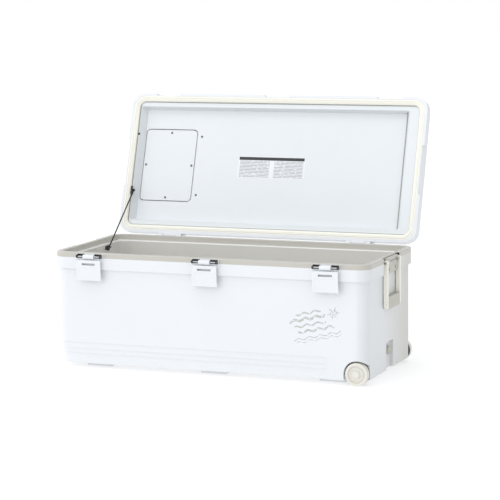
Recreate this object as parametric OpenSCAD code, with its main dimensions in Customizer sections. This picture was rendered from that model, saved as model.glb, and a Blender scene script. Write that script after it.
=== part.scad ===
// A long wheeled cool box with its lid standing open.
// Origin: on the floor, under the middle of the body. +X towards the wheels,
// -Y towards the latches, +Z up. The lid is drawn closed and then swung open.

/* [Body] */
// Length of the body over its rim
body_l = 980; // [900:10:1100]
// Depth of the body over its rim, front to back
body_w = 440; // [400:10:480]
// Height of the rim's top above the floor
rim_top = 345; // [320:5:380]
// Height of the three runners under the body
runner_h = 14; // [8:1:16]
// Thickness of every moulded wall
skin = 3; // [2:0.5:4]
// Distance from the rim's outer edge to the inside of the liner
wall = 30; // [28:1:34]
// Height of the inside floor above the ground
floor_in = 50; // [46:1:60]

/* [Rim] */
// Height of the beige band at the top
rim_h = 14.4; // [12:0.2:18]
// Width of the rim's flat top
rim_flat = 18; // [16:1:22]
// How far the ledge inside the rim lies below its top
ledge_drop = 16; // [12:1:24]
// Height of the white band under the rim, measured from the rim's top
band_h = 48.4; // [44:0.2:54]
// How far the lower body stands back from the band
band_step = 7; // [4:1:10]

/* [Lid] */
// How far the lid is swung open, in degrees
lid_open = 108; // [0:1:108]
// Depth of the lid, front to back
lid_w = 450; // [440:2:460]
// Thickness of the lid
lid_t = 58; // [50:1:70]
// Height of the lid's flange
flange_h = 26; // [20:1:32]
// Gap between the rim and the closed lid
lid_gap = 0.9; // [0.7:0.1:1.5]
// Depth of the reliefs in the flange beside latches and handles
relief = 6; // [4:0.5:7]

/* [Latches] */
// Distance between neighbouring latches
latch_pitch = 367; // [330:1:390]
// Width of a latch plate
latch_w = 77; // [64:1:84]
// Length of a latch plate below its pin
latch_drop = 70.5; // [60:0.5:74]

/* [Wheels] */
// Radius of a wheel
wheel_r = 33; // [28:1:34]
// Width of a wheel
wheel_w = 26; // [20:1:28]
// Distance of the wheel axis from the middle of the body
wheel_x = 452; // [440:1:455]

/* [Handles] */
// Width over the arms of a carrying handle
handle_w = 130; // [120:2:138]
// Drop of a handle below its pivots
handle_drop = 133; // [110:1:140]

/* [Hatch] */
// Length of the opening in the lid, along the body
hatch_l = 178; // [160:2:178]
// Width of the opening in the lid, across the body
hatch_w = 233; // [200:1:233]
// Distance of the hatch's middle from the middle of the lid
hatch_off = 355; // [345:1:356]

/* [Hidden] */
$fn = 48;
eps = 0.01;

corner_r = 40;
body_foot = runner_h;
band_z = rim_top - band_h;
rim_z = rim_top - rim_h;
ledge_z = rim_top - ledge_drop;
half_l = body_l / 2;
half_w = body_w / 2;
big = 2 * body_l;

// Three shallow steps draw the lower quarter in, except at the wheel housing.
step_z = [77, 59, 44];
step_in = 2;
housing_x = 362;

// Wheels and their arches
wheel_z = wheel_r;
arch_r = wheel_r + 5;
wheel_out = 214;
arch_in = 184;
axle_r = 5;
run_gap = 0.05;
boss_r = 9;
axle_end = 160;

// Drain in the wheel end
drain_z = 68;
drain_bore = 8;
drain_tube_r = 12.5;
recess_w = 66;
recess_h = 95;
recess_x = 474;

// Handles
handle_x = 491;
handle_z = 330;
handle_t = 12;
arm_w = 13;
pocket_w = 150;
pocket_x = 482.5;
handle_pin_r = 3;

// Latches
latch_x = [-latch_pitch, 0, latch_pitch];
pad_w = 84;
pad_t = 3;
pin_y = -half_w - 9.8;
pin_z = rim_top - 9.5;
latch_pin_r = 2;
plate_out = 3.5;
plate_t = 5;
tab_w = 34;
knuckle_r = 5.5;
slot_drop = 22.5;
slot_w = 42;
slot_h = 6;

// Lid, drawn closed: its lip lies lid_gap over the rim
lid_z = rim_top + lid_gap;
lid_l = body_l - 2;
crown_in = 8;
lid_skin = 3;
frame_in = 9.3;
frame_edge = 26;
border_z = 10;
panel_z = 33;
panel_x0 = -446;
panel_x1 = 418;
panel_w = 358;
relief_latch_w = 80;

// Hinge line, behind the body at the height of the rim
hinge_y = half_w + 10;
hinge_z = rim_top;
hinge_x = [-310, 310];
barrel_r = 4.5;
hinge_pin_r = 2.5;

// Stay: a rod pivoted on the lid runs through a swinging eye on the left wall.
// Pivot and eye lie on one circle round the hinge line, so the rod turns at half the lid's rate.
stay_x = -453;
stay_r = 2;
eye_dy = -138;
eye_dz = -25.5;
stay_reach = norm([eye_dy, eye_dz]);
pivot_dz = 6.5;
pivot_dy = -sqrt(stay_reach * stay_reach - pivot_dz * pivot_dz);
eye_y = hinge_y + eye_dy;
eye_z = hinge_z + eye_dz;
full_open = 108;
stay_len = 2 * stay_reach * sin((full_open + atan2(pivot_dz, -pivot_dy) + atan2(-eye_dz, -eye_dy)) / 2);
stop_gap = 4.4;
stop_l = 8;

// Hatch in the lid
hatch_x = -hatch_off;
hatch_r = 15;
collar = 1.8;
flange_over = 22;
door_gap = 2.5;
door_over = 11;
hatch_top = lid_t + 3;
hatch_barrel_r = 4;
hatch_hinge_y = hatch_w / 2 + 20;
hatch_hinge_z = hatch_top + hatch_barrel_r + 0.6;
hatch_pin_r = 1.5;
hatch_hinge_x = [-60, 60];
frame_screw_dx = 104;
frame_screw_dy = 94;
plate_screw_dx = 78;
plate_screw_dy = 104.5;

white = [0.95, 0.96, 0.97];
beige = [0.80, 0.78, 0.72];
cream = [0.93, 0.92, 0.84];
grey = [0.74, 0.72, 0.69];
steel = [0.70, 0.71, 0.72];
black = [0.08, 0.08, 0.08];
foam = [0.97, 0.93, 0.75];

// ---- shared shapes ----

module rounded(l, w, r) {
  square([l - 2 * r, w], center = true);
  square([l, w - 2 * r], center = true);
  for (x = [-1, 1], y = [-1, 1])
    translate([x * (l / 2 - r), y * (w / 2 - r)]) circle(r);
}

module block(l, w, r, z0, z1) {
  translate([0, 0, z0]) linear_extrude(z1 - z0) rounded(l, w, r);
}

// A prism of the body's outline, drawn in by a given distance
module body_prism(inset, z0, z1) {
  block(body_l - 2 * inset, body_w - 2 * inset, corner_r - inset / 2, z0, z1);
}

module lid_prism(inset, z0, z1) {
  block(lid_l - 2 * inset, lid_w - 2 * inset, corner_r - inset / 2, z0, z1);
}

module box(lo, hi) {
  translate(lo) cube(hi - lo);
}

module rod_x(r, x0, x1, y, z) {
  translate([x0, y, z]) rotate([0, 90, 0]) cylinder(h = x1 - x0, r = r);
}

module rod_y(r, y0, y1, x, z) {
  translate([x, y0, z]) rotate([-90, 0, 0]) cylinder(h = y1 - y0, r = r);
}

module rod_z(r, z0, z1, x, y) {
  translate([x, y, z0]) cylinder(h = z1 - z0, r = r);
}

// A pan-head screw whose head stands on a face and points along +Z
module screw(r_head, h_head, r, l) {
  translate([0, 0, -l]) cylinder(h = l, r = r);
  cylinder(h = h_head, r = r_head);
}

// Places something drawn on the closed lid on the lid as it stands open
module on_lid() {
  translate([0, hinge_y, hinge_z]) rotate([-lid_open, 0, 0]) translate([0, -hinge_y, -hinge_z])
    translate([0, 0, lid_z]) children();
}

module both_ends() {
  children();
  mirror([1, 0, 0]) children();
}

module both_sides() {
  children();
  mirror([0, 1, 0]) children();
}

// ---- the insulated body ----

module arch(g) {
  both_sides() {
    rod_y(arch_r + g, -half_w - 10, -arch_in + g, wheel_x, wheel_z);
    box([wheel_x - arch_r - g, -half_w - 10, -10], [half_l + 10, -arch_in + g, wheel_z]);
  }
}

module drain_recess(g) {
  box([recess_x - g, -recess_w / 2 - g, -10], [half_l + 10, recess_w / 2 + g, recess_h + g]);
}

module handle_pocket(g) {
  both_ends()
    box([pocket_x - g, -pocket_w / 2 - g, band_z - g], [half_l + 10, pocket_w / 2 + g, rim_top + 10]);
}

module body_solid(g) {
  body_prism(g, band_z + g, rim_z);
  body_prism(band_step + g, step_z[0], rim_z);
  for (i = [0:2])
    body_prism(band_step + (i + 1) * step_in + g, i < 2 ? step_z[i + 1] : body_foot + g, rim_z);
  intersection() {
    body_prism(band_step + g, body_foot + g, rim_z);
    box([housing_x + g, -half_w, 0], [half_l, half_w, rim_top]);
  }
}

// The space inside the liner, grown by g on every wall
module cavity(g) {
  difference() {
    body_prism(wall - g, floor_in - g, rim_top + 10);
    both_sides() box([402 + g, -half_w, 0], [half_l, -178 - g, 86 - g]);
  }
}

module boss(g) {
  both_sides() rod_y(boss_r + g, -arch_in - 1, -axle_end, wheel_x, wheel_z);
}

module outer_shell() color(white) difference() {
  union() {
    difference() {
      body_solid(0);
      difference() {
        body_solid(skin);
        arch(skin);
        drain_recess(skin);
        handle_pocket(skin);
      }
      body_prism(skin, rim_z - 5, rim_z + 5);
    }
    boss(0);
  }
  arch(0);
  drain_recess(0);
  handle_pocket(0);
  both_sides() rod_y(axle_r, -half_w, -axle_end - 6, wheel_x, wheel_z);
  rod_x(drain_tube_r, recess_x - 10, half_l, 0, drain_z);
}

module foam_core() color(foam) difference() {
  intersection() {
    body_solid(skin);
    box([-half_l, -half_w, 0], [half_l, half_w, ledge_z - 2 * skin]);
  }
  arch(skin);
  drain_recess(skin);
  handle_pocket(skin);
  cavity(skin);
  boss(0);
  rod_x(drain_tube_r, half_l - wall - 10, half_l, 0, drain_z);
}

module inner_liner() color(grey) difference() {
  union() {
    intersection() {
      cavity(skin);
      box([-half_l, -half_w, 0], [half_l, half_w, ledge_z - skin]);
    }
    body_prism(12, ledge_z - 2 * skin, ledge_z - skin);
  }
  cavity(0);
  rod_x(drain_tube_r, half_l - wall - 10, half_l, 0, drain_z);
}

module top_rim() color(beige) difference() {
  body_prism(0, ledge_z - skin, rim_top);
  difference() {
    body_prism(skin, 0, rim_top - skin);
    body_prism(rim_flat - skin, ledge_z - skin, rim_top);
  }
  difference() {
    body_prism(-1, 0, rim_z);
    body_prism(skin, 0, rim_top);
  }
  body_prism(rim_flat, ledge_z, rim_top + 1);
  body_prism(wall, 0, rim_top + 1);
  handle_pocket(0);
}

module runners() color(white) for (x = latch_x)
  translate([x, 0, 0]) difference() {
    box([-39.5, -170, 0], [39.5, 170, runner_h]);
    for (y = [-1, 1]) box([-25, y * 85 - 65, -1], [25, y * 85 + 65, 2]);
  }

// ---- wheels ----

module wheel() color(cream) rotate([90, 0, 0]) rotate_extrude($fn = 96) polygon([
  [axle_r + run_gap, -wheel_w / 2], [10, -wheel_w / 2], [10, -wheel_w / 2 + 3],
  [wheel_r - 8, -wheel_w / 2 + 3], [wheel_r - 8, -wheel_w / 2], [wheel_r - 1.5, -wheel_w / 2],
  [wheel_r, -wheel_w / 2 + 1.5], [wheel_r, wheel_w / 2 - 1.5], [wheel_r - 1.5, wheel_w / 2],
  [wheel_r - 8, wheel_w / 2], [wheel_r - 8, wheel_w / 2 - 3], [12, wheel_w / 2 - 3],
  [12, wheel_w / 2 - 1], [axle_r + run_gap, wheel_w / 2 - 1]
]);

module wheel_front() translate([wheel_x, -wheel_out + wheel_w / 2, wheel_z]) wheel();

module wheel_rear() mirror([0, 1, 0]) wheel_front();

module wheel_axles() color(steel) both_sides() {
  rod_y(axle_r, -wheel_out - 0.5, -axle_end - 6, wheel_x, wheel_z);
  rod_y(9, -wheel_out - 1.5, -wheel_out + 0.7, wheel_x, wheel_z);
}

// ---- drain ----

module drain_socket() color(white) difference() {
  union() {
    rod_x(drain_tube_r, half_l - wall - 1, recess_x, 0, drain_z);
    rod_x(16, recess_x, recess_x + 2, 0, drain_z);
  }
  rod_x(drain_bore, 0, half_l, 0, drain_z);
}

module drain_plug() color(beige) difference() {
  union() {
    rod_x(13.5, recess_x + 2.4, recess_x + 9, 0, drain_z);
    rod_x(drain_bore - 0.35, half_l - wall, recess_x + 3, 0, drain_z);
  }
  difference() {
    rod_x(drain_bore + 1, half_l - wall + 4, half_l - wall + 7, 0, drain_z);
    rod_x(drain_bore - 1.8, 0, half_l, 0, drain_z);
  }
}

module drain_seal() color(black) difference() {
  rod_x(drain_bore - 0.05, half_l - wall + 4.1, half_l - wall + 6.9, 0, drain_z);
  rod_x(drain_bore - 1.8, 0, half_l, 0, drain_z);
}

// ---- latches ----

module latch_bases() color(white) for (x = latch_x)
  translate([x, 0, 0]) difference() {
    union() {
      box([-pad_w / 2, -half_w - pad_t, band_z + 1], [pad_w / 2, -half_w, rim_top - 2]);
      for (s = [-1, 1]) {
        box([s * 37.25 - 1.75, pin_y, pin_z - 5], [s * 37.25 + 1.75, -half_w - 1, pin_z + 5]);
        rod_x(5, s * 37.25 - 1.75, s * 37.25 + 1.75, pin_y, pin_z);
      }
    }
    rod_x(latch_pin_r + run_gap, -pad_w / 2, pad_w / 2, pin_y, pin_z);
  }

module latch_pins() color(steel) for (x = latch_x)
  rod_x(latch_pin_r, x - 39, x + 39, pin_y, pin_z);

module latch_base_screws() color(steel) for (x = latch_x, s = [-1, 1])
  translate([x + s * 28, -half_w - pad_t, band_z + 12]) rotate([90, 0, 0]) screw(4, 1.6, 2, 14);

module latch() color(white) difference() {
  union() {
    rod_x(knuckle_r, -tab_w / 2, tab_w / 2, pin_y, pin_z);
    box([-tab_w / 2, pin_y - plate_out, pin_z - 6], [tab_w / 2, pin_y - plate_out + plate_t, pin_z]);
    translate([0, pin_y - plate_out, 0]) rotate([90, 0, 180]) mirror([1, 0, 0]) linear_extrude(plate_t)
      polygon([
        [-latch_w / 2, pin_z - 4.8 - knuckle_r], [latch_w / 2, pin_z - 4.8 - knuckle_r],
        [latch_w / 2, pin_z - 40], [latch_w / 2 + 1.5, pin_z - latch_drop],
        [-latch_w / 2 - 1.5, pin_z - latch_drop], [-latch_w / 2, pin_z - 40]
      ]);
  }
  rod_x(latch_pin_r + run_gap, -latch_w, latch_w, pin_y, pin_z);
  box([-slot_w / 2, pin_y - 20, pin_z - slot_drop - slot_h / 2], [slot_w / 2, -half_w, pin_z - slot_drop + slot_h / 2]);
}

module latch_left() translate([latch_x[0], 0, 0]) latch();

module latch_middle() translate([latch_x[1], 0, 0]) latch();

module latch_right() translate([latch_x[2], 0, 0]) latch();

// ---- carrying handles ----

module handle_bracket_right() color(beige) difference() {
  union() {
    box([pocket_x, -51, band_z + 1], [491.5, 51, rim_top - 3]);
    for (s = [-1, 1]) rod_y(7, s * 46 - 5, s * 46 + 5, handle_x, handle_z);
  }
  rod_y(handle_pin_r, -handle_w, handle_w, handle_x, handle_z);
}

module handle_bracket_left() mirror([1, 0, 0]) handle_bracket_right();

module handle_pins() color(steel) both_ends()
  rod_y(handle_pin_r, -handle_w / 2 - 2, handle_w / 2 + 2, handle_x, handle_z);

module handle_bracket_screws() color(steel) both_ends() for (s = [-1, 1])
  translate([491.5, s * 30, band_z + 12]) rotate([0, 90, 0]) screw(4.5, 1.8, 2.2, 20);

// A bail: two arms from the pivots down to the bar that carries the grip
module bail() color(cream) difference() {
  union() {
    for (s = [-1, 1]) {
      y0 = s > 0 ? handle_w / 2 - arm_w : -handle_w / 2;
      rod_y(7.5, y0, y0 + arm_w, handle_x, handle_z);
      box([handle_x - handle_t / 2, y0, handle_z - handle_drop + 8], [handle_x + handle_t / 2, y0 + arm_w, handle_z]);
      rod_x(8, handle_x - handle_t / 2, handle_x + handle_t / 2, s * (handle_w / 2 - 8), handle_z - handle_drop + 8);
    }
    box([handle_x - handle_t / 2, -handle_w / 2 + 8, handle_z - handle_drop],
        [handle_x + handle_t / 2, handle_w / 2 - 8, handle_z - handle_drop + 16]);
  }
  rod_y(handle_pin_r + run_gap, -handle_w, handle_w, handle_x, handle_z);
}

// The grip wraps the bar between the arms
module grip() color(beige) difference() {
  box([handle_x - handle_t / 2 - 1, -handle_w / 2 + arm_w + 0.5, handle_z - handle_drop - 1],
      [handle_x + handle_t / 2 + 1, handle_w / 2 - arm_w - 0.5, handle_z - handle_drop + 34]);
  box([handle_x - handle_t / 2, -handle_w, handle_z - handle_drop],
      [handle_x + handle_t / 2, handle_w, handle_z - handle_drop + 16]);
}

module handle_right() bail();

module grip_right() grip();

module handle_left() mirror([1, 0, 0]) bail();

module grip_left() mirror([1, 0, 0]) grip();

// ---- lid hinge ----

module hinge_bases() color(white) for (x = hinge_x) translate([x, 0, 0]) difference() {
  union() {
    box([-45, half_w, band_z + 4], [45, half_w + 4, rim_top - 5]);
    for (s = [-1, 1]) {
      box([s * 31.5 - 8.5, half_w + 1, rim_top - 12], [s * 31.5 + 8.5, hinge_y, rim_top]);
      rod_x(barrel_r, s * 31.5 - 8.5, s * 31.5 + 8.5, hinge_y, hinge_z);
    }
  }
  rod_x(hinge_pin_r + run_gap, -60, 60, hinge_y, hinge_z);
}

module hinge_leaves() color(white) on_lid() for (x = hinge_x) translate([x, 0, 0]) difference() {
  union() {
    rod_x(barrel_r, -22, 22, hinge_y, -lid_gap);
    box([-22, lid_w / 2, 0], [22, hinge_y + 2, 6]);
    box([-45, lid_w / 2, 6], [45, lid_w / 2 + 3.5, flange_h - 2]);
  }
  rod_x(hinge_pin_r + run_gap, -60, 60, hinge_y, -lid_gap);
}

module hinge_pins() color(steel) for (x = hinge_x)
  rod_x(hinge_pin_r, x - 41, x + 41, hinge_y, hinge_z);

module hinge_screws() color(steel) for (x = hinge_x, s = [-1, 1])
  translate([x + s * 32, half_w + 4, band_z + 14]) rotate([-90, 0, 0]) screw(4, 1.6, 2, 16);

// ---- stay ----

// Where the rod's pivot lies with the lid standing open
function pivot_at() =
  let (a = atan2(pivot_dz, pivot_dy) - lid_open)
  [hinge_y + stay_reach * cos(a), hinge_z + stay_reach * sin(a)];

// Half-way between the rod's directions with the lid open and shut
eye_tilt = (atan2(-(hinge_y + stay_reach * cos(atan2(pivot_dz, pivot_dy) - full_open) - eye_y),
                  hinge_z + stay_reach * sin(atan2(pivot_dz, pivot_dy) - full_open) - eye_z)
          + atan2(-(pivot_dy - eye_dy), pivot_dz - eye_dz)) / 2;

module stay_guide() color(black) {
  translate([stay_x, eye_y, eye_z]) rotate([eye_tilt, 0, 0]) rotate_extrude($fn = 40)
    translate([5.2, 0]) circle(1.5, $fn = 24);
  box([-half_l + wall, eye_y - 15, eye_z - 8], [-half_l + wall + 1.7, eye_y + 15, eye_z + 3]);
}

module stay_guide_screws() color(steel) for (s = [-1, 1])
  translate([-half_l + wall + 1.7, eye_y + s * 11, eye_z - 3]) rotate([0, 90, 0]) screw(2.6, 1, 1.4, 10);

module stay_place() {
  p = pivot_at();
  d = [eye_y - p[0], eye_z - p[1]];
  translate([stay_x, p[0], p[1]]) rotate([atan2(-d[0], d[1]), 0, 0]) children();
}

module lid_stay() color(steel) difference() {
  union() {
    stay_place() cylinder(h = stay_len + stop_gap + 4, r = stay_r);
    rod_x(4, stay_x - 2, stay_x + 2, pivot_at()[0], pivot_at()[1]);
  }
  rod_x(1.5 + run_gap, stay_x - 9, stay_x + 9, pivot_at()[0], pivot_at()[1]);
}

module stay_stop() color(black) stay_place() difference() {
  translate([0, 0, stay_len + stop_gap]) cylinder(h = stop_l, r = 4.5);
  translate([0, 0, stay_len]) cylinder(h = stop_gap + 4, r = stay_r);
}

module stay_bracket() color(black) on_lid() {
  y = hinge_y + pivot_dy;
  z = pivot_dz - lid_gap;
  box([-462, y - 13, 1.5], [-457.5, y + 13, border_z]);
  rod_x(1.5, -458, stay_x + 3.5, y, z);
  rod_x(2.6, stay_x + 2.6, stay_x + 3.6, y, z);
}

module stay_bracket_screws() color(steel) on_lid() for (s = [-1, 1])
  translate([-457.5, hinge_y + pivot_dy + s * 9, 5.6]) rotate([0, 90, 0]) screw(2.4, 0.9, 1.3, 8);

// ---- lid ----

// The panel recess: its mouth in the border and its smaller floor
module recess(g, z0, z1) hull() {
  box_round([-460 - g, -184 - g], [431 + g, 184 + g], z0, z0 + 0.1);
  box_round([panel_x0 - g, -panel_w / 2 - g], [panel_x1 + g, panel_w / 2 + g], z1 - 0.1, z1);
}

module box_round(lo, hi, z0, z1) {
  translate([(lo[0] + hi[0]) / 2, (lo[1] + hi[1]) / 2, 0])
    block(hi[0] - lo[0], hi[1] - lo[1], 8, z0, z1, $fn = 32);
}

module reliefs() {
  for (x = latch_x) box([x - relief_latch_w / 2, -lid_w, -1], [x + relief_latch_w / 2, -lid_w / 2 + relief, flange_h]);
  both_ends() box([lid_l / 2 - relief, -75, -1], [lid_l, 75, flange_h]);
}

module lid_outer(g) {
  difference() {
    lid_prism(g, -1, flange_h - g);
    if (g == 0) reliefs();
  }
  lid_prism(crown_in + g, -1, lid_t - g);
}

module hatch_hole(g) {
  translate([hatch_x, 0, 0]) block(hatch_l + 2 * g, hatch_w + 2 * g, hatch_r + g, -2, lid_t + 20);
}

module lid_shell() color(white) on_lid() difference() {
  lid_outer(0);
  box([-big, -big, -2], [big, big, 0]);
  lid_prism(frame_in, -2, flange_h - 3);
  lid_prism(crown_in + lid_skin, -2, lid_t - lid_skin);
  hatch_hole(collar);
}

module lid_frame() color(cream) on_lid() difference() {
  lid_prism(frame_in, 0.6, border_z);
  hull() {
    lid_prism(17, 0, 0.8, $fn = 32);
    lid_prism(frame_edge, border_z, border_z + 0.5, $fn = 32);
  }
}

module lid_gasket() color(white) on_lid() difference() {
  lid_prism(12.6, -0.4, 0.6);
  lid_prism(15.8, -1, 1);
}

module lid_liner() color(white) on_lid() difference() {
  union() {
    lid_prism(frame_in, border_z, border_z + 2.5);
    recess(2.5, border_z, panel_z + 2.5);
  }
  recess(0, border_z - 0.01, panel_z);
  hatch_hole(collar);
}

module lid_foam() color(foam) on_lid() difference() {
  lid_prism(crown_in + lid_skin, panel_z + 2.5, lid_t - lid_skin);
  hatch_hole(collar);
}

// The foam round the panel, under the lid's border
module lid_edge_foam() color(foam) on_lid() difference() {
  union() {
    lid_prism(frame_in, border_z + 2.5, flange_h - 3);
    lid_prism(crown_in + lid_skin, border_z + 2.5, panel_z + 2.5);
  }
  recess(2.5, border_z, panel_z + 2.6);
}

module lid_label() color([0.85, 0.87, 0.9]) on_lid()
  box([-119, -34, panel_z - 0.4], [103, 34, panel_z]);

module latch_catches() color(steel) on_lid() for (x = latch_x)
  box([x - 19, -lid_w / 2 + relief - 8, 10], [x + 19, -lid_w / 2 + relief, 14]);

// ---- hatch in the lid ----

module at_hatch() on_lid() translate([hatch_x, 0, 0]) children();

module hatch_frame() color(white) at_hatch() difference() {
  union() {
    block(hatch_l + 2 * collar, hatch_w + 2 * collar, hatch_r + collar, panel_z, hatch_top);
    block(hatch_l + 2 * flange_over, hatch_w + 2 * flange_over, hatch_r + flange_over, lid_t, hatch_top);
    for (x = hatch_hinge_x, s = [-1, 1]) {
      box([x + s * 15 - 5, hatch_hinge_y - 4, hatch_top - 1], [x + s * 15 + 5, hatch_hinge_y + 4, hatch_hinge_z]);
      rod_x(hatch_barrel_r, x + s * 15 - 5, x + s * 15 + 5, hatch_hinge_y, hatch_hinge_z);
    }
  }
  block(hatch_l, hatch_w, hatch_r, panel_z - 1, hatch_top + 1);
  rod_x(hatch_pin_r + run_gap, -100, 100, hatch_hinge_y, hatch_hinge_z);
}

// The corner nearest the stay is held by the stay bracket's screws
module hatch_frame_screws() color(steel) at_hatch() for (x = [-1, 1], y = [-1, 1]) if (x > 0 || y < 0)
  translate([x * frame_screw_dx, y * frame_screw_dy, x < 0 ? border_z : panel_z]) mirror([0, 0, 1]) screw(3.4, 1.4, 1.8, 14);

module hatch_hinge_pins() color(steel) at_hatch() for (x = hatch_hinge_x)
  rod_x(hatch_pin_r, x - 21, x + 21, hatch_hinge_y, hatch_hinge_z);

module hatch_plug(g, z0, z1) {
  block(hatch_l - 2 * door_gap - 2 * g, hatch_w - 2 * door_gap - 2 * g, hatch_r - door_gap, z0, z1);
}

module hatch_skin() color(white) at_hatch() difference() {
  union() {
    block(hatch_l + 2 * door_over, hatch_w + 2 * door_over, hatch_r + door_over, hatch_top + 0.8, hatch_top + 5.8);
    hatch_plug(0, panel_z + 2.5, hatch_top + 1);
    for (x = hatch_hinge_x) {
      box([x - 9.5, hatch_w / 2, hatch_top + 0.8], [x + 9.5, hatch_hinge_y, hatch_hinge_z + 1]);
      rod_x(hatch_barrel_r, x - 9.5, x + 9.5, hatch_hinge_y, hatch_hinge_z);
    }
  }
  hatch_plug(2.5, panel_z, hatch_top + 0.8);
  rod_x(hatch_pin_r + run_gap, -100, 100, hatch_hinge_y, hatch_hinge_z);
}

module hatch_core() color(foam) at_hatch() hatch_plug(2.5, panel_z + 2.5, hatch_top + 0.8);

module hatch_plate() color(white) at_hatch() hatch_plug(0, panel_z, panel_z + 2.5);

module hatch_plate_screws() color(steel) at_hatch() {
  for (s = [-1, 1]) {
    translate([s * plate_screw_dx, 0, panel_z]) mirror([0, 0, 1]) screw(3.4, 1.4, 1.8, 12);
    translate([0, s * plate_screw_dy, panel_z]) mirror([0, 0, 1]) screw(3.4, 1.4, 1.8, 12);
  }
}

module hatch_seal() color(black) at_hatch() difference() {
  block(hatch_l + 12, hatch_w + 12, hatch_r + 6, hatch_top + 0.4, hatch_top + 0.8);
  block(hatch_l + 4, hatch_w + 4, hatch_r + 2, hatch_top, hatch_top + 2);
}

// ---- everything ----

outer_shell();
foam_core();
inner_liner();
top_rim();
runners();
latch_bases();
latch_pins();
latch_base_screws();
latch_left();
latch_middle();
latch_right();
handle_bracket_right();
handle_bracket_left();
handle_pins();
handle_bracket_screws();
handle_right();
grip_right();
handle_left();
grip_left();
wheel_front();
wheel_rear();
wheel_axles();
drain_socket();
drain_plug();
drain_seal();
hinge_bases();
hinge_leaves();
hinge_pins();
hinge_screws();
stay_guide();
stay_guide_screws();
lid_stay();
stay_stop();
stay_bracket();
stay_bracket_screws();
lid_shell();
lid_foam();
lid_edge_foam();
lid_liner();
lid_frame();
lid_gasket();
lid_label();
latch_catches();
hatch_frame();
hatch_frame_screws();
hatch_hinge_pins();
hatch_skin();
hatch_core();
hatch_plate();
hatch_plate_screws();
hatch_seal();
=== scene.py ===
from math import cos, pi, radians, sin

import bpy
import bmesh
from mathutils import Matrix, Vector


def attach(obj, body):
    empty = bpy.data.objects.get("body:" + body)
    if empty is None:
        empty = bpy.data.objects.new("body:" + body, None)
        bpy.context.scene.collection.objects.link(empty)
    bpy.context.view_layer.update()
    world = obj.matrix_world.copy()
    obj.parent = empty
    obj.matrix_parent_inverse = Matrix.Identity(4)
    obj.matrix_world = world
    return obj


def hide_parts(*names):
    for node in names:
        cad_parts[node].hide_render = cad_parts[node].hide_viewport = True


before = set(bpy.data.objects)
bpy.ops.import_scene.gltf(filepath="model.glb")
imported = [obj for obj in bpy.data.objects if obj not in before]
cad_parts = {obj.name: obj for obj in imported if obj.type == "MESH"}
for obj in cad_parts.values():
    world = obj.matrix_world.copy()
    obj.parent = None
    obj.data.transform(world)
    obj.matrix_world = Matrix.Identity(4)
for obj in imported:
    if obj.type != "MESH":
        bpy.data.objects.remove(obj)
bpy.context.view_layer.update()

# ---- camera, floor and light -------------------------------------------------
# The cooler stands on a plain pale floor in soft studio light, seen from above
# its front right corner with a long lens.
eye = Vector((2.2550, -5.5697, 1.1660))
turn, dip, lean = radians(-21.591), radians(-7.828), radians(-0.571)
ahead = Vector((sin(turn) * cos(dip), cos(turn) * cos(dip), sin(dip)))
across = ahead.cross(Vector((0, 0, 1))).normalized()
upward = across.cross(ahead)
across, upward = across * cos(lean) + upward * sin(lean), upward * cos(lean) - across * sin(lean)
bpy.ops.object.select_all(action="DESELECT")
bpy.ops.object.camera_add(location=eye)
camera = bpy.context.object
camera.matrix_world = Matrix((
    (across.x, upward.x, -ahead.x, eye.x),
    (across.y, upward.y, -ahead.y, eye.y),
    (across.z, upward.z, -ahead.z, eye.z),
    (0, 0, 0, 1),
))
camera.data.sensor_width = 36
camera.data.lens = 147.31
camera.data.clip_start, camera.data.clip_end = 0.1, 100
bpy.context.scene.camera = camera
bpy.context.scene.view_settings.view_transform = "Standard"

bpy.ops.mesh.primitive_plane_add(size=60, location=(0, 0, -0.0004))
floor = bpy.context.object
floor.name = "floor"
floor_paint = bpy.data.materials.new("pale_floor")
floor_paint.use_nodes = True
floor_shader = floor_paint.node_tree.nodes["Principled BSDF"]
floor_shader.inputs["Base Color"].default_value = (0.45, 0.45, 0.45, 1)
floor_shader.inputs["Emission Color"].default_value = (1, 1, 1, 1)
floor_shader.inputs["Emission Strength"].default_value = 0.58
floor_shader.inputs["Roughness"].default_value = 0.9
floor.data.materials.append(floor_paint)

sky = bpy.data.worlds.new("studio")
bpy.context.scene.world = sky
sky.use_nodes = True
wires = sky.node_tree
lit = wires.nodes["Background"]
lit.inputs["Color"].default_value = (0.965, 0.98, 1.0, 1)
aim_at = wires.nodes.new("ShaderNodeTexCoord")
tilt = wires.nodes.new("ShaderNodeVectorMath")
tilt.operation = "DOT_PRODUCT"
tilt.inputs[1].default_value = (-0.40, -0.22, 0.12)
level = wires.nodes.new("ShaderNodeMath")
level.inputs[1].default_value = 0.98
wires.links.new(aim_at.outputs["Generated"], tilt.inputs[0])
wires.links.new(tilt.outputs["Value"], level.inputs[0])
wires.links.new(level.outputs[0], lit.inputs["Strength"])
backdrop = wires.nodes.new("ShaderNodeBackground")
backdrop.inputs["Color"].default_value = (1, 1, 1, 1)
seen = wires.nodes.new("ShaderNodeLightPath")
chosen = wires.nodes.new("ShaderNodeMixShader")
wires.links.new(seen.outputs["Is Camera Ray"], chosen.inputs[0])
wires.links.new(lit.outputs[0], chosen.inputs[1])
wires.links.new(backdrop.outputs[0], chosen.inputs[2])
wires.links.new(chosen.outputs[0], wires.nodes["World Output"].inputs["Surface"])


def lamp(name, place, aim, size, watts, tint=(1, 1, 1)):
    bpy.ops.object.light_add(type="AREA", location=place)
    light = bpy.context.object
    light.name = name
    light.data.shape = "DISK"
    light.data.size = size
    light.data.energy = watts
    light.data.color = tint
    light.rotation_euler = (Vector(aim) - Vector(place)).to_track_quat("-Z", "Y").to_euler()


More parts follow.
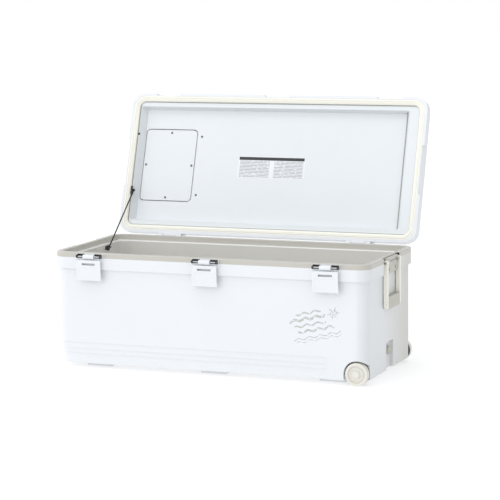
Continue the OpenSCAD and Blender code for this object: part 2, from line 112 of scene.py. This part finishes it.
lamp("front_softbox", (-2.2, -4.6, 2.2), (0, 0, 0.4), 1.6, 14, (1, 0.99, 0.975))
lamp("top_softbox", (0.2, -0.9, 3.4), (0, 0.1, 0.3), 1.4, 10, (0.97, 0.98, 1))

# ---- outer shell --------------------------------------------------------------
# The white skin of the box: one thick moulding in tough glossy plastic, with a
# wider band under the rim, a stepped foot and housings for wheels and drain.
# A pale printed mark sits low on its front.


class Wire:
    """A shader socket that takes part in Python expressions."""

    def __init__(self, tree, end):
        self.tree, self.end = tree, end

    def put(self, kind, settings=None, out=0, **values):
        node = self.tree.nodes.new("ShaderNode" + kind)
        for key, value in (settings or {}).items():
            setattr(node, key, value)
        for key, value in values.items():
            numbered = key[0] == "i" and key[1:].isdigit()
            entry = node.inputs[int(key[1:]) if numbered else key]
            if isinstance(value, Wire):
                self.tree.links.new(value.end, entry)
            elif isinstance(value, tuple) and len(value) == 3 and len(entry.default_value) == 4:
                entry.default_value = (*value, 1)
            else:
                entry.default_value = value
        return Wire(self.tree, node.outputs[out])

    def _sum(self, job, a, b=0.0):
        return self.put("Math", {"operation": job}, i0=a, i1=b)

    def __add__(self, b): return self._sum("ADD", self, b)
    def __radd__(self, b): return self._sum("ADD", b, self)
    def __sub__(self, b): return self._sum("SUBTRACT", self, b)
    def __rsub__(self, b): return self._sum("SUBTRACT", b, self)
    def __mul__(self, b): return self._sum("MULTIPLY", self, b)
    def __rmul__(self, b): return self._sum("MULTIPLY", b, self)
    def __abs__(self): return self._sum("ABSOLUTE", self)
    def __pow__(self, b): return self._sum("POWER", self, b)
    def __lt__(self, b): return self._sum("LESS_THAN", self, b)
    def __gt__(self, b): return self._sum("GREATER_THAN", self, b)
    def __and__(self, b): return self._sum("MINIMUM", self, b)
    def __or__(self, b): return self._sum("MAXIMUM", self, b)

    def wave(self): return self._sum("SINE", self)
    def folded(self, period): return self._sum("PINGPONG", self, period)

    def soft(self, low, high):
        """Rises smoothly from 0 at low to 1 at high."""
        return self.put("MapRange", {"interpolation_type": "SMOOTHSTEP"}, i0=self, i1=low, i2=high)

    def parts(self):
        node = self.tree.nodes.new("ShaderNodeSeparateXYZ")
        self.tree.links.new(self.end, node.inputs[0])
        return [Wire(self.tree, socket) for socket in node.outputs]

    def blend(self, a, b):
        """a where this mask is 0, b where it is 1, for colours."""
        return self.put("Mix", {"data_type": "RGBA"}, out=2, i0=self, i6=a, i7=b)


def feed(paint, socket, wire):
    wire.tree.links.new(wire.end, paint.node_tree.nodes["Principled BSDF"].inputs[socket])


def set_fixed(paint, socket, value):
    paint.node_tree.nodes["Principled BSDF"].inputs[socket].default_value = value


def place_on(paint):
    """The place on the piece, in metres, as a wire of its finish."""
    tree = paint.node_tree
    return Wire(tree, tree.nodes["Texture Coordinate"].outputs["Object"])


def grain(place, scale, detail=3.0, rough=0.5):
    return place.put("TexNoise", Vector=place, Scale=scale, Detail=detail, Roughness=rough)


def plastic(name, colour, shade, rough, texture=0.03, grain_size=900, coat=0.0):
    """Moulded plastic: a faint drift of colour, a fine mould grain and handling haze."""
    paint = bpy.data.materials.new(name)
    paint.use_nodes = True
    set_fixed(paint, "Coat Weight", coat)
    set_fixed(paint, "Coat Roughness", 0.15)
    place = Wire(paint.node_tree, None).put("TexCoord", out=3)
    drift = grain(place, 6.0, 4.0).soft(0.35, 0.7)
    feed(paint, "Base Color", (drift * 0.35).blend(colour, shade))
    haze = grain(place, 14.0, 5.0, 0.6).soft(0.3, 0.75)
    feed(paint, "Roughness", haze * 0.05 + rough)
    skin = grain(place, grain_size, 2.0) * 0.6 + grain(place, 22.0, 2.0) * 0.4
    feed(paint, "Normal", place.put("Bump", Strength=texture, Distance=0.001, Height=skin))
    return paint


def stain(paint, mask, colour):
    """Lays a colour over a finish where the mask is 1."""
    tree = paint.node_tree
    base = tree.nodes["Principled BSDF"].inputs["Base Color"].links[0].from_socket
    feed(paint, "Base Color", mask.blend(Wire(tree, base), colour))


def clear():
    if bpy.context.object and bpy.context.object.mode != "OBJECT":
        bpy.ops.object.mode_set(mode="OBJECT")
    bpy.ops.object.select_all(action="DESELECT")


def only(piece):
    clear()
    piece.select_set(True)
    bpy.context.view_layer.objects.active = piece


def apply_all(piece):
    only(piece)
    for modifier in list(piece.modifiers):
        bpy.ops.object.modifier_apply(modifier=modifier.name)


def round_off(piece, width, segments=3, angle=30):
    bevel = piece.modifiers.new("rounding", "BEVEL")
    bevel.width, bevel.segments = width, segments
    bevel.limit_method, bevel.angle_limit = "ANGLE", radians(angle)
    bevel.miter_outer = "MITER_ARC"
    apply_all(piece)
    return piece


def moulding(node, width, segments=3):
    """A copy of a CAD solid with its loose facets joined and its edges rounded."""
    piece = bpy.data.objects.new(node + "_moulding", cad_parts[node].data.copy())
    bpy.context.scene.collection.objects.link(piece)
    only(piece)
    bpy.ops.object.mode_set(mode="EDIT")
    bpy.ops.mesh.select_all(action="SELECT")
    bpy.ops.mesh.customdata_custom_splitnormals_clear()
    bpy.ops.mesh.remove_doubles(threshold=0.00002)
    bpy.ops.mesh.dissolve_limited(angle_limit=radians(1.0))
    bpy.ops.object.mode_set(mode="OBJECT")
    return round_off(piece, width, segments) if width else piece


def carve(piece, cutter, job="DIFFERENCE"):
    """Cuts a shape out of a piece, or joins it on, and throws the cutter away."""
    only(piece)
    cut = piece.modifiers.new("cut", "BOOLEAN")
    cut.operation, cut.object, cut.solver = job, cutter, "EXACT"
    apply_all(piece)
    bpy.data.objects.remove(cutter)
    return piece


def block(name, low, high, width=0.0, segments=3):
    """A box between two corners with rounded edges."""
    clear()
    bpy.ops.mesh.primitive_cube_add(size=1, location=[(a + b) / 2 for a, b in zip(low, high)])
    piece = bpy.context.object
    piece.name = name
    piece.scale = [b - a for a, b in zip(low, high)]
    bpy.ops.object.transform_apply(location=True, rotation=True, scale=True)
    if width:
        bpy.ops.object.mode_set(mode="EDIT")
        bpy.ops.mesh.select_all(action="SELECT")
        bpy.ops.mesh.bevel(offset=width, segments=segments, affect="EDGES")
        bpy.ops.object.mode_set(mode="OBJECT")
    return piece


def fit(piece, body, paint, kind, *nodes, angle=35):
    """The last step for each piece: shading, finish, and the body it moves with."""
    only(piece)
    bpy.ops.object.shade_smooth_by_angle(angle=radians(angle))
    evened = piece.modifiers.new("even_shading", "WEIGHTED_NORMAL")
    evened.keep_sharp = True
    apply_all(piece)
    piece.data.materials.clear()
    piece.data.materials.append(paint)
    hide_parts(*nodes)
    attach(piece, body)
    return piece


shell_white, shell_shade = (0.762, 0.782, 0.806), (0.735, 0.755, 0.78)
white = plastic("white_plastic", shell_white, shell_shade, 0.29, 0.004, 300)
printed = plastic("white_plastic_print_and_painted_shade", shell_white, shell_shade, 0.29, 0.004, 300)
spot = place_on(printed)
x, y, z = spot.parts()

# Painted shade: the wheel end is painted duller and warmer towards the back, for the shade that
# falls there.
painted_back_shade = (x > 0.455) & (y.soft(-0.10, 0.20) * 0.55 + 0.08)
stain(printed, painted_back_shade, (0.50, 0.48, 0.41))

# The print: wavy lines of several weights and a small star, tilted up to the right.
print_x, print_z, slope = 0.330, 0.168, radians(13)
along = (x - print_x) * cos(slope) + (z - print_z) * sin(slope)
over = (z - print_z) * cos(slope) - (x - print_x) * sin(slope)
ripple = (along * 190.0).wave() * 0.0028
wavy_lines = (  # height in the print, left end, right end, weight
    (0.038, -0.050, 0.026, 0.0052), (0.022, -0.074, 0.036, 0.0078),
    (0.004, -0.062, 0.034, 0.0052), (-0.013, -0.054, 0.056, 0.0064),
    (-0.032, -0.074, 0.072, 0.0030), (-0.041, -0.066, 0.074, 0.0022),
)
star_x, star_z = along - 0.062, over - 0.022
reach_out = (star_x * star_x + star_z * star_z) ** 0.5
marks = abs(reach_out - 0.0100) < 0.0012
for degrees in (0, 60, 120):
    c, k = cos(radians(degrees)), sin(radians(degrees))
    marks = marks | ((abs(star_x * k - star_z * c) < 0.0014) & (reach_out < 0.0185))
for level, left, right, weight in wavy_lines:
    marks = marks | ((abs(over - level - ripple) < weight / 2) & (along > left) & (along < right))
worn = grain(spot, 260.0).soft(0.38, 0.5)
stain(printed, (marks & (y < -0.2) & worn) * 0.85, (0.40, 0.44, 0.40))
fit(moulding("outer_shell", 0.0018), "body", printed, "white", "outer_shell")

# ---- foam core ----------------------------------------------------------------
# Rigid yellow foam fills the space between shell and liner. It is sealed in and
# never seen, so the CAD solid is used as it is.


def finish_cad(node, paint):
    """Gives its finish to a CAD solid that is used as it is."""
    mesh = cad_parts[node].data
    mesh.materials.clear()
    mesh.materials.append(paint)


foam = plastic("rigid_foam", (0.85, 0.78, 0.52), (0.74, 0.66, 0.42), 0.9, 0.5, 300)
finish_cad("foam_core", foam)

# ---- liner --------------------------------------------------------------------
# The warm grey tub inside: drawn from one sheet, with upright walls, a rounded
# floor and a hump over each wheel. Its flange hangs on the ledge of the rim.


def outline(name, low, high, level, radius, segments=8):
    """A flat plate with round corners, left in edit mode with its face chosen."""
    clear()
    centre = ((low[0] + high[0]) / 2, (low[1] + high[1]) / 2, level)
    bpy.ops.mesh.primitive_plane_add(size=1, location=centre)
    piece = bpy.context.object
    piece.name = name
    piece.scale = (high[0] - low[0], high[1] - low[1], 1)
    bpy.ops.object.transform_apply(location=True, rotation=True, scale=True)
    bpy.ops.object.mode_set(mode="EDIT")
    bpy.ops.mesh.select_all(action="SELECT")
    bpy.ops.mesh.bevel(offset=radius, segments=segments, affect="VERTICES")
    bpy.ops.mesh.select_all(action="SELECT")
    return piece


def climb(*steps):
    """Grows the chosen face step by step: so far inwards, then so far up."""
    for inwards, rise in steps:
        if inwards:
            bpy.ops.mesh.inset(thickness=inwards, depth=0, use_even_offset=True)
            if rise:
                bpy.ops.transform.translate(value=(0, 0, rise))
        else:
            bpy.ops.mesh.extrude_region_move(TRANSFORM_OT_translate={"value": (0, 0, rise)})


def open_end(piece, thickness):
    """Takes away the first face and the last, and thickens the open wall that is left."""
    bpy.ops.mesh.delete(type="FACE")
    bpy.ops.mesh.select_mode(type="FACE")
    bpy.ops.mesh.select_face_by_sides(number=4, type="GREATER", extend=False)
    bpy.ops.mesh.delete(type="FACE")
    bpy.ops.object.mode_set(mode="OBJECT")
    wall = piece.modifiers.new("wall", "SOLIDIFY")
    wall.thickness, wall.offset, wall.use_even_offset = thickness, -1, True
    apply_all(piece)


grey = plastic("grey_plastic", (0.67, 0.66, 0.62), (0.63, 0.62, 0.575), 0.34, 0.02, 600)
liner = outline("liner", (-0.478, -0.208), (0.478, 0.208), 0.326, 0.045, 10)
climb((0.018, 0), (0.0004, -0.004), (0.0006, -0.240), (0.0015, -0.010), (0.0035, -0.0075),
      (0.0075, -0.0035), (0.008, -0.001))
bpy.ops.object.mode_set(mode="OBJECT")
wall = liner.modifiers.new("wall", "SOLIDIFY")
wall.thickness, wall.offset = 0.0024, -1
apply_all(liner)
for side in (-1, 1):
    y_low, y_high = sorted((side * 0.176, side * 0.190))
    hump = block("hump", (0.406, y_low, 0.056), (0.4605, y_high, 0.084), 0.003)
    carve(liner, hump, "UNION")
fit(liner, "body", grey, "grey", "inner_liner")

# ---- rim ----------------------------------------------------------------------
# A beige frame round the mouth: a skirt over the shell, a flat top for the
# lid's gasket and a ledge inside, moulded with a fine grain.
beige = plastic("beige_plastic", (0.520, 0.500, 0.445), (0.480, 0.460, 0.405), 0.34, 0.03, 800)
rim_paint = plastic("rim_beige", (0.520, 0.502, 0.455), (0.480, 0.462, 0.415), 0.30, 0.03, 800, 0.2)
x, y, z = place_on(rim_paint).parts()

# A painted highlight: a pale strip runs round the rounded front edge of the ledge.
ledge_highlight = (z > 0.3262) & (z < 0.3298) & (abs(x) < 0.4685) & (abs(y) < 0.1985)
stain(rim_paint, ledge_highlight, (0.92, 0.92, 0.90))
rim = outline("rim", (-0.490, -0.220), (0.490, 0.220), 0.3306, 0.040, 12)
climb((0, 0.0119), (0.0004, 0.0012), (0.0009, 0.0009), (0.0012, 0.0004), (0.0085, 0),
      (0.0004, -0.0008), (0.0012, 0), (0.0004, 0.0008), (0.0040, 0), (0.0010, -0.0010),
      (0.0004, -0.0140), (0.0006, -0.0010), (0.0110, 0), (0.0005, -0.0030))
open_end(rim, 0.0022)
for side in (-1, 1):
    x_low, x_high = sorted((side * 0.4825, side * 0.5))
    carve(rim, block("pocket", (x_low, -0.075, 0.32), (x_high, 0.075, 0.36)))
fit(rim, "body", rim_paint, "beige", "top_rim", angle=28)

# ---- runners ------------------------------------------------------------------
# Three white runners across the underside carry the box clear of the ground,
# level with the wheels.
fit(moulding("runners", 0.0012), "body", white, "white", "runners")

# ---- wheels and axles ---------------------------------------------------------
# Cream wheels turned in one piece: a tread, a dished face with a raised ring and
# a hub. They spin on fixed stubs whose broad cream caps keep them on.
cream = plastic("cream_plastic", (0.88, 0.865, 0.785), (0.85, 0.83, 0.745), 0.32, 0.02, 700)
wheel_paint = plastic("wheel_cream", (0.745, 0.725, 0.665), (0.70, 0.68, 0.62), 0.38, 0.03, 700)
x, y, z = place_on(wheel_paint).parts()

# Painted shade: the faces turned towards the box are near black, for the shadow inside the wheel
# housings.
shaded_inner_face = abs(y) < 0.1945
stain(wheel_paint, shaded_inner_face, (0.03, 0.028, 0.025))


def turned(name, outline_points, centre, turns=72):
    """A ring turned from a closed outline of (radius, offset along Y) points."""
    clear()
    mesh = bpy.data.meshes.new(name)
    piece = bpy.data.objects.new(name, mesh)
    bpy.context.scene.collection.objects.link(piece)
    points = [(centre[0] + r, centre[1] + d, centre[2]) for r, d in outline_points]
    count = len(points)
    mesh.from_pydata(points, [(i, (i + 1) % count) for i in range(count)], [])
    only(piece)
    bpy.ops.object.mode_set(mode="EDIT")
    bpy.ops.mesh.select_all(action="SELECT")
    bpy.ops.mesh.spin(steps=turns, angle=2 * pi, center=centre, axis=(0, 1, 0))
    bpy.ops.mesh.select_all(action="SELECT")
    bpy.ops.mesh.remove_doubles(threshold=0.00001)
    bpy.ops.mesh.normals_make_consistent(inside=False)
    bpy.ops.object.mode_set(mode="OBJECT")
    return piece


# The wheel's outline, from the bore out to the tread and back: radius, and place
# along the axle.
tread = [(0.00505, -0.0120), (0.0110, -0.0120), (0.0116, -0.0114), (0.0116, -0.0098),
         (0.0122, -0.0092), (0.0170, -0.0092), (0.0176, -0.0098), (0.0178, -0.0106),
         (0.0184, -0.0112), (0.0200, -0.0112), (0.0206, -0.0106), (0.0208, -0.0094),
         (0.0214, -0.0088), (0.0248, -0.0088), (0.0254, -0.0094), (0.0256, -0.0124),
         (0.0262, -0.0130), (0.0308, -0.0130), (0.0322, -0.0126), (0.0329, -0.0114),
         (0.0330, -0.0040), (0.0327, -0.0036), (0.0327, 0.0036), (0.0330, 0.0040),
         (0.0330, 0.0114), (0.0322, 0.0126), (0.0308, 0.0130), (0.0256, 0.0130),
         (0.0252, 0.0104), (0.0110, 0.0100), (0.0100, 0.0128), (0.00505, 0.0130)]
wheel_x, wheel_y, wheel_radius = 0.452, 0.201, 0.033
for name, body, side in (("wheel_front", "wheel_a", 1), ("wheel_rear", "wheel_b", -1)):
    hub = (wheel_x, -wheel_y * side, wheel_radius)
    wheel = turned(name + "_turned", [(r, d * side) for r, d in tread], hub)
    fit(wheel, body, wheel_paint, "cream", name, angle=25)

fit(moulding("wheel_axles", 0.0008), "body", wheel_paint, "cream", "wheel_axles", angle=25)

# ---- drain --------------------------------------------------------------------
# A white socket through the wheel end, shut by a beige push plug with a black
# ring in its groove. The plug has a raised bar for the fingers.
fit(moulding("drain_socket", 0.0006), "body", white, "white", "drain_socket")
plug = moulding("drain_plug", 0.0008)
carve(plug, block("dish_up", (0.4815, -0.0105, 0.0705), (0.4850, 0.0105, 0.0775), 0.001))
carve(plug, block("dish_down", (0.4815, -0.0105, 0.0585), (0.4850, 0.0105, 0.0655), 0.001))
fit(plug, "drain", beige, "beige", "drain_plug")
rubber = plastic("black_rubber", (0.015, 0.015, 0.015), (0.03, 0.03, 0.03), 0.7, 0.2, 1200)
fit(moulding("drain_seal", 0.0004), "drain", rubber, "rubber", "drain_seal")

# ---- latches ------------------------------------------------------------------
# Three white flip-up latches hang from steel pins between lugs on screwed pads.
# Each plate has a slot for its catch and a shallow panel for the thumb.


def metal(name, colour, shade, rough, texture=0.03, grain_size=700):
    paint = plastic(name, colour, shade, rough, texture, grain_size)
    set_fixed(paint, "Metallic", 1.0)
    return paint


latch_pitch = 0.367
steel = metal("steel", (0.47, 0.47, 0.48), (0.38, 0.38, 0.39), 0.26, 0.04, 900)
pad_paint = plastic("latch_pad", shell_white, shell_shade, 0.29, 0.004, 300)
x, y, z = place_on(pad_paint).parts()

# Painted shade: the pads are black in two short windows beside the middle of each latch, for the
# shadow round the pins.
nearest_latch = ((abs(x) - latch_pitch / 2) > 0.0) * latch_pitch
from_latch = abs(abs(x) - nearest_latch)
shaded_window = (from_latch > 0.0160) & (from_latch < 0.0398) & (z > 0.3303) & (z < 0.3428)
stain(pad_paint, shaded_window, (0.012, 0.012, 0.012))
fit(moulding("latch_bases", 0.0009), "body", pad_paint, "white", "latch_bases")
fit(moulding("latch_pins", 0.0003, 2), "body", steel, "steel", "latch_pins", angle=25)
fit(moulding("latch_base_screws", 0.0003, 2), "body", steel, "steel", "latch_base_screws", angle=25)
plates = (("latch_left", "latch_a", -latch_pitch), ("latch_middle", "latch_b", 0.0),
          ("latch_right", "latch_c", latch_pitch))
for name, body, at in plates:
    plate = moulding(name, 0.0011)
    carve(plate, block("thumb_panel", (at - 0.0305, -0.2400, 0.2700),
                       (at + 0.0305, -0.2326, 0.3045), 0.0012))
    carve(plate, block("slot_lip", (at - 0.0225, -0.2400, 0.3090),
                       (at + 0.0225, -0.2329, 0.3170), 0.0008))
    fit(plate, body, white, "white", name)

# ---- carrying handles ---------------------------------------------------------
# A cream bail hangs from steel pins at each end, with a beige grip clipped on its
# bar. The beige bracket sits in a pocket under the rim.


def slab(name, low, high, bottom, top, radius, segments=8):
    """A closed plate with round corners."""
    piece = outline(name, low, high, bottom, radius, segments)
    climb((0, top - bottom))
    bpy.ops.mesh.select_all(action="SELECT")
    bpy.ops.mesh.fill_holes(sides=0)
    bpy.ops.mesh.select_all(action="SELECT")
    bpy.ops.mesh.normals_make_consistent(inside=False)
    bpy.ops.object.mode_set(mode="OBJECT")
    return piece


fit(moulding("handle_bracket_right", 0.0012), "body", beige, "beige", "handle_bracket_right")
fit(moulding("handle_bracket_left", 0.0012), "body", beige, "beige", "handle_bracket_left")
fit(moulding("handle_pins", 0.0005, 2), "body", steel, "steel", "handle_pins", angle=25)
fit(moulding("handle_bracket_screws", 0.0003, 2), "body", steel, "steel",
    "handle_bracket_screws", angle=25)
bails = (("handle_right", "grip_right", "handle_a", 1),
         ("handle_left", "grip_left", "handle_b", -1))
for name, grip, body, side in bails:
    x_low, x_high = sorted((side * 0.46, side * 0.54))
    front = slab("bail_front", (-0.0652, 0.1960), (0.0652, 0.3600), x_low, x_high, 0.013)
    front.data.transform(Matrix(((0, 0, 1, 0), (1, 0, 0, 0), (0, 1, 0, 0), (0, 0, 0, 1))))
    bail = carve(moulding(name, 0), front, "INTERSECT")
    fit(round_off(bail, 0.0032, 4), body, cream, "cream", name)
    held = moulding(grip, 0.0030, 4)
    x_low, x_high = sorted((side * 0.4974, side * 0.5))
    for k in range(-3, 4):
        groove = block("finger_groove", (x_low, 0.011 * k - 0.0012, 0.202),
                       (x_high, 0.011 * k + 0.0012, 0.226), 0.0006, 2)
        carve(held, groove)
    fit(held, body, beige, "beige", grip)

# ---- lid hinges ---------------------------------------------------------------
# Two white hinges behind the rim: plates screwed to the back, and leaves moulded
# to fit the lid, joined by steel pins.
fit(moulding("hinge_bases", 0.0008), "body", white, "white", "hinge_bases")
fit(moulding("hinge_leaves", 0.0008), "lid", white, "white", "hinge_leaves")
fit(moulding("hinge_pins", 0.0004, 2), "body", steel, "steel", "hinge_pins", angle=25)
fit(moulding("hinge_screws", 0.0003, 2), "body", steel, "steel", "hinge_screws", angle=25)

# ---- stay ---------------------------------------------------------------------
# A thin steel rod, pivoted on a black bracket in the lid, slides through a black
# eye on the left wall until the stop on its end meets the eye.
dark_steel = metal("dark_steel", (0.035, 0.034, 0.032), (0.02, 0.02, 0.02), 0.34)
black = plastic("black_plastic", (0.02, 0.02, 0.02), (0.035, 0.035, 0.035), 0.42, 0.15, 1400)
fit(moulding("lid_stay", 0.0004, 2), "stay", dark_steel, "steel", "lid_stay", angle=25)
fit(moulding("stay_stop", 0.0010), "stay", black, "black", "stay_stop", angle=25)
fit(moulding("stay_guide", 0.0004, 2), "body", black, "black", "stay_guide")
fit(moulding("stay_guide_screws", 0.0003, 2), "body", steel, "steel", "stay_guide_screws", angle=25)
fit(moulding("stay_bracket", 0.0006), "lid", black, "black", "stay_bracket")
fit(moulding("stay_bracket_screws", 0.0002, 2), "lid", steel, "steel",
    "stay_bracket_screws", angle=25)

# ---- lid shell ----------------------------------------------------------------
# The white top of the lid: a deep flange with reliefs beside the latches and
# handles, and a crown set in from it.
fit(moulding("lid_shell", 0.0022, 4), "lid", white, "white", "lid_shell")

# ---- lid frame and gasket -----------------------------------------------------
# A cream frame lines the flange inside, bevelled towards the panel. A soft white
# bead in it seals against the rim.
hinge = Vector((0, 0.230, 0.345))
open_angle, shut_lip_level = radians(108), 0.3459
border_level, panel_level = -0.0100, -0.0330
face_up = Matrix.Rotation(pi, 4, "X")
swung = (Matrix.Translation(hinge) @ Matrix.Rotation(-open_angle, 4, "X")
         @ Matrix.Translation(-hinge) @ Matrix.Translation((0, 0, shut_lip_level)) @ face_up)


def swing(piece):
    """Takes a piece drawn underside up on the origin to its place in the open lid."""
    bpy.ops.object.mode_set(mode="OBJECT")
    piece.data.transform(swung)
    return piece


cream_ring = outline("cream_ring", (-0.4797, -0.2157), (0.4797, 0.2157), border_level, 0.036, 12)
climb((0, 0.0088), (0.0006, 0.0006), (0.0066, 0), (0.0004, -0.0009), (0.0010, 0), (0.0004, 0.0009),
      (0.0012, -0.0002), (0.0052, -0.0034), (0.0006, -0.0008), (0.0004, -0.0048))
open_end(cream_ring, 0.0015)
ring_paint = plastic("ring_cream", (0.89, 0.875, 0.79), (0.86, 0.845, 0.755), 0.32, 0.01, 400)
fit(swing(cream_ring), "lid", ring_paint, "cream", "lid_frame", angle=28)

soft_white = plastic("gasket_white", (0.82, 0.81, 0.76), (0.76, 0.75, 0.70), 0.55, 0.08, 900)
bead = outline("bead", (-0.4764, -0.2124), (0.4764, 0.2124), -0.0006, 0.0345, 12)
climb((0.0002, 0.0006), (0.0005, 0.0003), (0.0009, 0.0001), (0.0009, -0.0001),
      (0.0005, -0.0003), (0.0002, -0.0006))
open_end(bead, 0.0004)
fit(swing(bead), "lid", soft_white, "white", "lid_gasket", angle=60)

# ---- lid panel ----------------------------------------------------------------
# The bluish white inside of the lid: a flat border, a sloping step all round and
# a wide flat panel, from one thin sheet. The hatch comes through it.


def reach(low, high, rise):
    """Grows the chosen face to new corners and a new height."""
    mesh = bmesh.from_edit_mesh(bpy.context.object.data)
    chosen = [v.co for v in mesh.verts if v.select]
    now_low = [min(c[i] for c in chosen) for i in (0, 1)]
    now_high = [max(c[i] for c in chosen) for i in (0, 1)]
    shift = [(low[i] + high[i] - now_low[i] - now_high[i]) / 2 for i in (0, 1)]
    size = [(high[i] - low[i]) / (now_high[i] - now_low[i]) for i in (0, 1)]
    bpy.ops.mesh.extrude_region_move(TRANSFORM_OT_translate={"value": (shift[0], shift[1], rise)})
    centre = ((low[0] + high[0]) / 2, (low[1] + high[1]) / 2, 0)
    bpy.ops.transform.resize(value=(size[0], size[1], 1), center_override=centre)


def tray(name, mouth, floor_plan, mouth_level, floor_level, radius):
    """A closed block between a mouth and a smaller floor, each given as (low, high)."""
    piece = outline(name, mouth[0], mouth[1], mouth_level, radius, 4)
    reach(floor_plan[0], floor_plan[1], floor_level - mouth_level)
    bpy.ops.mesh.select_all(action="SELECT")
    bpy.ops.mesh.fill_holes(sides=0)
    bpy.ops.mesh.select_all(action="SELECT")
    bpy.ops.mesh.normals_make_consistent(inside=False)
    bpy.ops.object.mode_set(mode="OBJECT")
    return piece


pale = plastic("pale_panel", (0.735, 0.763, 0.785), (0.71, 0.738, 0.76), 0.29, 0.004, 300)
lean_back = open_angle - radians(90)
up_lid = Vector((0, sin(lean_back), cos(lean_back)))
middle = (swung @ Vector((0, 0, panel_level))).dot(up_lid)
x, y, z = place_on(pale).parts()

# Two thin lines of painted shadow: along the right step, and beside the cream frame.
from_middle = abs(y * up_lid.y + z * up_lid.z - middle)
step_shadow_line = (x > 0.4160) & (x < 0.4225) & (from_middle < 0.181)
frame_shadow_line = ((from_middle > 0.1970) | (x < -0.4608)) & (from_middle < 0.2010) & (abs(x) < 0.4650)
stain(pale, (step_shadow_line * 0.9) | (frame_shadow_line * 0.75), (0.28, 0.29, 0.28))
panel = slab("panel", (-0.4797, -0.2157), (0.4797, 0.2157), -0.0122, border_level, 0.036, 12)
carve(panel, tray("outside", ((-0.4622, -0.1862), (0.4332, 0.1862)),
                  ((-0.4482, -0.1812), (0.4202, 0.1812)), -0.0115, -0.0352, 0.008), "UNION")
carve(panel, tray("inside", ((-0.4605, -0.1842), (0.4315, 0.1842)),
                  ((-0.4460, -0.1790), (0.4180, 0.1790)), -0.0090, panel_level, 0.006))
channel = slab("channel", (-0.4645, -0.2005), (0.4645, 0.2005), -0.0112, -0.0080, 0.020, 12)
carve(channel, slab("inside", (-0.4615, -0.1975), (0.4615, 0.1975), -0.0140, -0.0060, 0.017, 12))
carve(panel, channel)
carve(panel, slab("hole", (-0.4458, -0.1183), (-0.2642, 0.1183), -0.05, 0.0, 0.0168))
round_off(panel, 0.0005, 2, 40)
fit(swing(panel), "lid", pale, "white", "lid_liner", angle=28)
finish_cad("lid_foam", foam)
finish_cad("lid_edge_foam", foam)

# ---- lid label ----------------------------------------------------------------
# A printed film stuck to the panel: a dark bar over two columns of plain grey
# strokes, which stand for lines and say nothing.
label_paint = plastic("label_film", (0.80, 0.82, 0.85), (0.77, 0.79, 0.82), 0.28, 0.01, 400)
spot = place_on(label_paint)
x, y, z = spot.parts()
up = y * up_lid.y + z * up_lid.z - middle
bar = (up > 0.0230) & (up < 0.0328) & (x > -0.116) & (x < 0.100)
column = ((x > -0.113) & (x < -0.014)) | ((x > 0.001) & (x < 0.097))
row = (up + 0.5).folded(0.00225) > 0.00125
stretched = spot.put("VectorMath", {"operation": "MULTIPLY"}, i0=spot, i1=(1.0, 2.4, 2.4))
words = spot.put("TexNoise", Vector=stretched, Scale=130.0, Detail=2.0) > 0.40
strokes = column & row & words & (up < 0.0205) & (up > -0.031)
stain(label_paint, bar | strokes * 0.62, (0.02, 0.02, 0.022))
label = slab("label", (-0.119, -0.034), (0.103, 0.034), panel_level, -0.0327, 0.003)
fit(swing(label), "lid", label_paint, "label", "lid_label")

# ---- latch catches ------------------------------------------------------------
# Steel bars in the lid's front reliefs. The slots of the latches drop over them
# when the lid is shut.
bright_steel = metal("bright_steel", (0.88, 0.88, 0.88), (0.82, 0.82, 0.82), 0.30, 0.02)
fit(moulding("latch_catches", 0.0004, 2), "lid", bright_steel, "steel", "latch_catches")

# ---- hatch --------------------------------------------------------------------
# A small insulated door through the left end of the lid: a frame round the
# hole, and a door with a foam core, hinged outside on steel pins.
fit(moulding("hatch_frame", 0.0008), "lid", white, "white", "hatch_frame")
fit(moulding("hatch_hinge_pins", 0.0003, 2), "lid", steel, "steel", "hatch_hinge_pins", angle=25)
fit(moulding("hatch_skin", 0.0014), "hatch", white, "white", "hatch_skin")
finish_cad("hatch_core", foam)
fit(moulding("hatch_seal", 0.0001, 1), "hatch", rubber, "rubber", "hatch_seal")
door = outline("hatch_plate_pressed", (-0.4415, -0.114), (-0.2685, 0.114), -0.0355, 0.0130)
climb((0, 0.0019), (0.0002, 0.0004), (0.0004, 0.0002), (0.0040, 0), (0.0006, -0.0003),
      (0.0010, 0), (0.0006, 0.0003))
bpy.ops.mesh.select_all(action="SELECT")
bpy.ops.mesh.fill_holes(sides=0)
fit(swing(door), "hatch", pale, "white", "hatch_plate")

# ---- hatch screws -------------------------------------------------------------
# Small steel screws with crossed slots hold the hatch's frame and inner plate:
# three in the frame, and four in the plate.


def cross_screw(radius, height):
    """One pan head with a crossed slot, standing on the origin."""
    clear()
    bpy.ops.mesh.primitive_cylinder_add(vertices=28, radius=radius, depth=height,
                                        location=(0, 0, height / 2))
    head = round_off(bpy.context.object, height * 0.35)
    arm, slot = radius * 0.62, radius * 0.13
    carve(head, block("slot", (-arm, -slot, height * 0.45), (arm, slot, height * 3)))
    return carve(head, block("slot", (-slot, -arm, height * 0.45), (slot, arm, height * 3)))


def set_screws(name, places, radius, height):
    """A screw at each place, as one object."""
    first = cross_screw(radius, height)
    first.name = name
    copies = []
    for place in places:
        one = bpy.data.objects.new(name, first.data.copy())
        bpy.context.scene.collection.objects.link(one)
        one.data.transform(Matrix.Translation(place))
        copies.append(one)
    bpy.data.objects.remove(first)
    clear()
    for one in copies:
        one.select_set(True)
    bpy.context.view_layer.objects.active = copies[0]
    bpy.ops.object.join()
    return bpy.context.object


frame_corners = [(-0.459, 0.094, border_level), (-0.251, 0.094, panel_level),
                 (-0.251, -0.094, panel_level)]
frame_screws = set_screws("frame_screws", frame_corners, 0.0034, 0.0014)
fit(swing(frame_screws), "lid", dark_steel, "steel", "hatch_frame_screws")
door_sides = [(-0.433, 0, panel_level), (-0.277, 0, panel_level),
              (-0.355, 0.1045, panel_level), (-0.355, -0.1045, panel_level)]
door_screws = set_screws("door_screws", door_sides, 0.0034, 0.0014)
fit(swing(door_screws), "hatch", dark_steel, "steel", "hatch_plate_screws")
